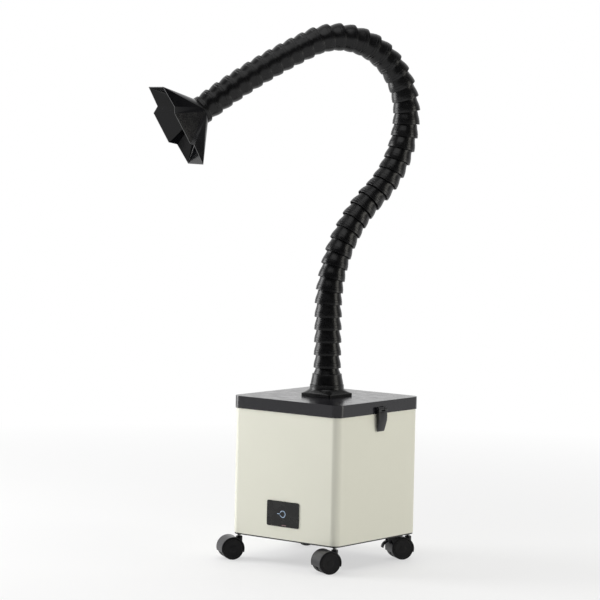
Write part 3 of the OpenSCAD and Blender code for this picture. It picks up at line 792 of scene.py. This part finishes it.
def make_cover(name):
    """Wheel cover: a rolled shell over both wheels, a web between them, and the stem's boss."""
    low_angle = 18
    half = (TWIN_W + 1) / 2
    inner = COVER_R - 1.4
    shell = [
        (inner, -half + 0.3), (COVER_R - 0.4, -half), (COVER_R, -half + 0.5), (COVER_R, -half + 1.6),
        (COVER_R - 0.25, -half + 2), (COVER_R - 0.25, half - 2), (COVER_R, half - 1.6), (COVER_R, half - 0.5),
        (COVER_R - 0.4, half), (inner, half - 0.3),
    ]
    web = [(3.3, -WEB_T / 2), (inner + 0.4, -WEB_T / 2), (inner + 0.4, WEB_T / 2), (3.3, WEB_T / 2)]
    bm = bmesh.new()
    # angles run in the wheel's own plane, where 0 points down and 90 towards the front of travel
    place = along_x(0, -TRAIL, WHEEL_R)
    add_arc_wall(bm, shell, 90 - low_angle, 270 + low_angle, 40, place)
    add_arc_wall(bm, web, 90 - low_angle, 270 + low_angle, 40, place)
    top = BASE_Z - 5.5
    boss = [
        (4.1, 44), (5.6, 37), (7.3, 37), (7.5, 38), (7.5, top - 1.2), (7.2, top - 0.4), (6.4, top),
        (4.5, top), (4.1, top - 0.4),
    ]
    add_lathe(bm, boss, 40)
    if name in BRAKED:
        for side in (-1, 1):
            lug = [(1.6, -1.7), (4.0, -1.7), (4.4, -1.3), (4.4, 1.3), (4.0, 1.7), (1.6, 1.7)]
            add_lathe(bm, lug, 28, along_x(side * (BRAKE_W / 2 + 2.3), BRAKE_Y, BRAKE_Z))
    make_piece(f"wheel_cover_{name}", bm, f"caster_fork_{name}", caster_place(name), sharp=30)


def make_brake(name):
    """Curved pedal with a barrel at its hinge and a rolled tip."""
    bm = bmesh.new()
    centre = Vector((0, BRAKE_Y - 1, BRAKE_Z - 14.5))
    half = BRAKE_W / 2
    rings = []
    steps = 16
    for i in range(steps + 1):
        t = i / steps
        a = math.radians(90 + 88 * t)
        thick = 1.5 - 0.5 * t
        width = half * (1 - 0.16 * t ** 3)
        out = Vector((0, math.cos(a), math.sin(a)))
        middle = centre + out * 14.5
        corner = 0.5
        rings.append([bm.verts.new(middle + out * v + Vector((u, 0, 0))) for u, v in
                      rounded_square(width, thick, corner, 2)])
    join_rings(bm, rings)
    bm.faces.new(rings[0])
    bm.faces.new(list(reversed(rings[-1])))
    barrel = [(0.02, -half), (2.8, -half), (3.2, -half + 0.4), (3.2, half - 0.4), (2.8, half), (0.02, half)]
    add_lathe(bm, barrel, 28, along_x(0, BRAKE_Y, BRAKE_Z))
    pin_half = half + 3.4
    pin = [
        (0.02, -pin_half), (1.3, -pin_half), (1.5, -pin_half + 0.2), (1.5, pin_half - 0.2),
        (1.3, pin_half), (0.02, pin_half),
    ]
    add_lathe(bm, pin, 20, along_x(0, BRAKE_Y, BRAKE_Z))
    bmesh.ops.remove_doubles(bm, verts=bm.verts, dist=0.0001)
    make_piece(f"brake_pedal_{name}", bm, f"brake_lever_{name}", caster_place(name), sharp=34)


def make_casters():
    for name in CASTERS:
        make_cover(name)
        make_wheels(name)
    for name in BRAKED:
        make_brake(name)


# ---------------------------------------------------------------- latches

LATCH_HALF = 15.8
LUG_HALF = 6
KNUCKLE_R = 4.2


def along_y(x, y, z):
    """Turns a lathe's own axis, Z, to lie along Y through (x, y, z)."""
    return Matrix.Translation((x, y, z)) @ Matrix.Rotation(-math.pi / 2, 4, "X")


def make_latch(name, turn):
    """Bowed lever that hangs from two knuckles, narrows to its tip and has a barb inside."""
    hinge = Vector(JOINTS["latch_right_swing"]["pos_m"]) / MM
    top, tip = hinge.z - 4.6, box_mm("latch_right")[0].z
    inside = CABINET_HIGH.x + 3.4
    bm = bmesh.new()
    rings = []
    steps = 18
    for i in range(steps + 1):
        t = i / steps
        z = top + (tip - top) * t
        bow = 0.8 * math.sin(math.pi * min(1, t * 1.6))
        tuck = 5.8 * max(0, t - 0.45) ** 1.4 / 0.55 ** 1.4
        outer = hinge.x + KNUCKLE_R - 0.6 + bow - tuck
        half = LATCH_HALF - 2.6 * t ** 2
        depth = (outer - inside) / 2
        if i in (0, steps):
            half, depth = half - 0.7, depth - 0.5
        rings.append([bm.verts.new((inside + (outer - inside) / 2 + x, y, z)) for x, y in
                      rounded_square(depth, half, min(1.3, depth * 0.8), 3)])
    join_rings(bm, rings)
    bm.faces.new(rings[0])
    bm.faces.new(list(reversed(rings[-1])))
    for side in (-1, 1):
        inner, outer = LUG_HALF + 0.3, LATCH_HALF
        knuckle = [
            (1.55, inner), (KNUCKLE_R - 0.3, inner), (KNUCKLE_R, inner + 0.3), (KNUCKLE_R, outer - 0.6),
            (KNUCKLE_R - 0.6, outer), (1.9, outer), (1.55, outer - 0.3),
        ]
        add_lathe(bm, [(r, side * y) for r, y in knuckle], 36, along_y(hinge.x, 0, hinge.z))
        leg = []
        for z, grow in ((top - 1, 0), (hinge.z, 0.1)):
            leg.append([bm.verts.new((hinge.x + 2.1 + x, side * (inner + outer) / 2 + y, z)) for x, y in
                        rounded_square(1.9 + grow, (outer - inner) / 2 - 0.2, 0.5, 2)])
        join_rings(bm, leg)
        bm.faces.new(leg[0])
        bm.faces.new(list(reversed(leg[-1])))
    barb_low = LID_LOW.z - 22 - 7.3
    middle = ((CABINET_HIGH.x + 0.8 + inside + 0.6) / 2, 0, barb_low + 2.3)
    size = (inside - CABINET_HIGH.x - 0.2, 15.6, 4.6, 1)
    barb = bmesh.ops.create_cube(bm, size=1, matrix=Matrix.Translation(middle) @ Matrix.Diagonal(size))
    edges = list({e for v in barb["verts"] for e in v.link_edges})
    bmesh.ops.bevel(bm, geom=edges, offset=0.5, segments=2, affect="EDGES")
    make_piece(f"{name}_lever", bm, name, Matrix.Rotation(turn, 4, "Z"), sharp=34)


# ---------------------------------------------------------------- filters and gasket

def add_box(bm, low, high, rounding=0.0):
    """A box between two corners, with rounded edges."""
    size = [b - a for a, b in zip(low, high)]
    middle = [(a + b) / 2 for a, b in zip(low, high)]
    made = bmesh.ops.create_cube(bm, size=1, matrix=Matrix.Translation(middle) @ Matrix.Diagonal((*size, 1)))
    if rounding:
        edges = list({edge for vert in made["verts"] for edge in vert.link_edges})
        bmesh.ops.bevel(bm, geom=edges, offset=rounding, segments=2, affect="EDGES")


def add_tray(bm, low, high, rim, floor_z, floor_t):
    """Four walls round a rectangle, with a thin floor between them."""
    x0, y0, z0 = low
    x1, y1, z1 = high
    for a, b in (
        ((x0, y0, z0), (x1, y0 + rim, z1)), ((x0, y1 - rim, z0), (x1, y1, z1)),
        ((x0, y0 + rim, z0), (x0 + rim, y1 - rim, z1)), ((x1 - rim, y0 + rim, z0), (x1, y1 - rim, z1)),
    ):
        add_box(bm, a, b, 0.8)
    if floor_t:
        add_box(bm, (x0 + rim, y0 + rim, floor_z), (x1 - rim, y1 - rim, floor_z + floor_t))


def make_hepa():
    """Rigid frame round a deep bank of pleats."""
    low, high = box_mm("hepa_filter")
    rim, recess, pitch = 15, 6, 5.2
    bm = bmesh.new()
    add_tray(bm, low, high, rim, 0, 0)
    make_piece("hepa_frame", bm, "hepa_filter", slot="filter_paper")
    count = int((high.x - low.x - 2 * rim) / pitch)
    step = (high.x - low.x - 2 * rim) / count
    thick = 0.4
    bm = bmesh.new()
    outline = []
    for i in range(2 * count + 1):
        z = high.z - recess if i % 2 else low.z + recess
        outline.append((low.x + rim + i * step / 2, z))
    front, back = ([bm.verts.new((x, y, z)) for x, z in outline] +
                   [bm.verts.new((x + thick, y, z)) for x, z in reversed(outline)]
                   for y in (low.y + rim, high.y - rim))
    join_rings(bm, [front, back])
    make_piece("hepa_pleats", bm, "hepa_filter", replaces=False, sharp=25)


def make_carbon():
    """Tray of granules under a wire grid."""
    low, high = box_mm("carbon_filter")
    rim = 12
    bm = bmesh.new()
    add_tray(bm, low, high, rim, low.z, 2)
    pitch, wire = 12, 0.9
    inner = (low.x + rim, low.y + rim, high.x - rim, high.y - rim)
    count = int((inner[2] - inner[0]) / pitch)
    for i in range(1, count):
        x = inner[0] + i * (inner[2] - inner[0]) / count
        y = inner[1] + i * (inner[3] - inner[1]) / count
        add_box(bm, (x - wire / 2, inner[1], high.z - 3), (x + wire / 2, inner[3], high.z - 3 + wire))
        add_box(bm, (inner[0], y - wire / 2, high.z - 3 + wire * 0.9),
                (inner[2], y + wire / 2, high.z - 3 + 1.9 * wire))
    make_piece("carbon_tray", bm, "carbon_filter", slot="black_plastic")
    bm = bmesh.new()
    cells = 110

    def granule_point(i, j):
        x = inner[0] + (inner[2] - inner[0]) * i / cells
        y = inner[1] + (inner[3] - inner[1]) * j / cells
        return x, y, high.z - 6 + 1.3 * noise.noise(Vector((i * 1.7, j * 1.7, 3)))

    top = [[bm.verts.new(granule_point(i, j)) for i in range(cells + 1)] for j in range(cells + 1)]
    join_rings(bm, top, closed_rings=False)
    skirt = [edge for edge in bm.edges if edge.is_boundary]
    walls = bmesh.ops.extrude_edge_only(bm, edges=skirt)
    bottom = [v for v in walls["geom"] if isinstance(v, bmesh.types.BMVert)]
    for vert in bottom:
        vert.co.z = low.z + 2
    bmesh.ops.contextual_create(bm, geom=[e for e in bm.edges if e.is_boundary])
    make_piece("carbon_granules", bm, "carbon_filter", replaces=False, sharp=80)


def make_prefilter():
    """Springy fibre pad: a crowned slab with an uneven surface and soft edges."""
    low, high = box_mm("prefilter_pad")
    middle = (low + high) / 2
    half = (high - low) / 2 - Vector((0.6, 0.6, 0))
    cells, layers = 96, 6
    edge = 5

    def pad_point(i, j, k):
        u, v, w = (2 * n / total - 1 for n, total in ((i, cells), (j, cells), (k, layers)))
        point = Vector((u * half.x, v * half.y, w * half.z))
        inset = [max(0, abs(point[a]) - (half[a] - edge)) / edge for a in range(2)]
        round_off = min(1, math.hypot(*inset))
        point.z *= 1 - 0.35 * round_off ** 3
        rough = 0.5 * noise.noise(point * 0.11) + 0.35 * noise.noise(point * 0.4)
        point.z += rough * abs(w) - 0.5 * w
        if max(abs(u), abs(v)) == 1:
            point.x -= u * 0.6 * abs(rough)
            point.y -= v * 0.6 * abs(rough)
        return middle + point

    bm = bmesh.new()
    verts = {}
    for i in range(cells + 1):
        for j in range(cells + 1):
            for k in range(layers + 1):
                if i in (0, cells) or j in (0, cells) or k in (0, layers):
                    verts[i, j, k] = bm.verts.new(pad_point(i, j, k))
    for i in range(cells):
        for j in range(cells):
            for k in (0, layers):
                bm.faces.new([verts[i + a, j + b, k] for a, b in ((0, 0), (1, 0), (1, 1), (0, 1))])
        for k in range(layers):
            for side in (0, cells):
                bm.faces.new([verts[i + a, side, k + b] for a, b in ((0, 0), (1, 0), (1, 1), (0, 1))])
                bm.faces.new([verts[side, i + a, k + b] for a, b in ((0, 0), (1, 0), (1, 1), (0, 1))])
    pad = make_piece("prefilter", bm, "prefilter_pad", sharp=80)


def make_gasket():
    """Foam strip round the lid's edge, with a rounded section."""
    low, high = box_mm("lid_gasket")
    width, corner = 6, 18
    half = (high.x - low.x) / 2
    section = [(0.1, 0.0), (width - 0.1, 0.0), (width, 0.7), (width - 0.3, 1.5), (width - 1.2, high.z - low.z),
               (1.2, high.z - low.z), (0.3, 1.5), (0, 0.7)]
    bm = bmesh.new()
    steps = 12
    rings = [[bm.verts.new((x, y, high.z - z)) for x, y in
              rounded_square(half - inset, half - inset, corner - inset, steps)] for inset, z in section]
    join_rings(bm, rings, closed_loop=True)
    strip = make_piece("foam_gasket", bm, "lid_gasket", sharp=50)


# ---------------------------------------------------------------- CAD nodes that stay

# rounding of their edges, in millimetres; a node that isn't named keeps its edges as they are
ROUNDING = {
    "cabinet_shell": 0.35, "base_plate": 0.5, "lid": 1.3, "panel_glass": 0.4, "panel_frame": 0.3,
    "exhaust_grille": 0.4, "mains_inlet": 0.5, "latch_lugs": 0.5, "power_supply": 0.5,
}


def finish_cad_nodes():
    for node, piece in NODES.items():
        mesh = piece.data
        mesh.materials.clear()
        mesh.materials.append(MATERIALS[SLOT_OF[node]])
        mesh.shade_smooth()
        weld = piece.modifiers.new("weld", "WELD")
        weld.merge_threshold = 0.000002
        mesh.set_sharp_from_angle(angle=math.radians(32))
        if node in ROUNDING:
            bevel(piece, ROUNDING[node])
        keep_flats(piece)


make_camera()
make_studio()
make_floor()
finish_cad_nodes()
make_collar()
make_flange()
make_neck()
make_hose()
make_hood_mount()
make_hood()
make_casters()
make_latch("latch_right", 0)
make_latch("latch_left", math.pi)
make_hepa()
make_carbon()
make_prefilter()
make_gasket()
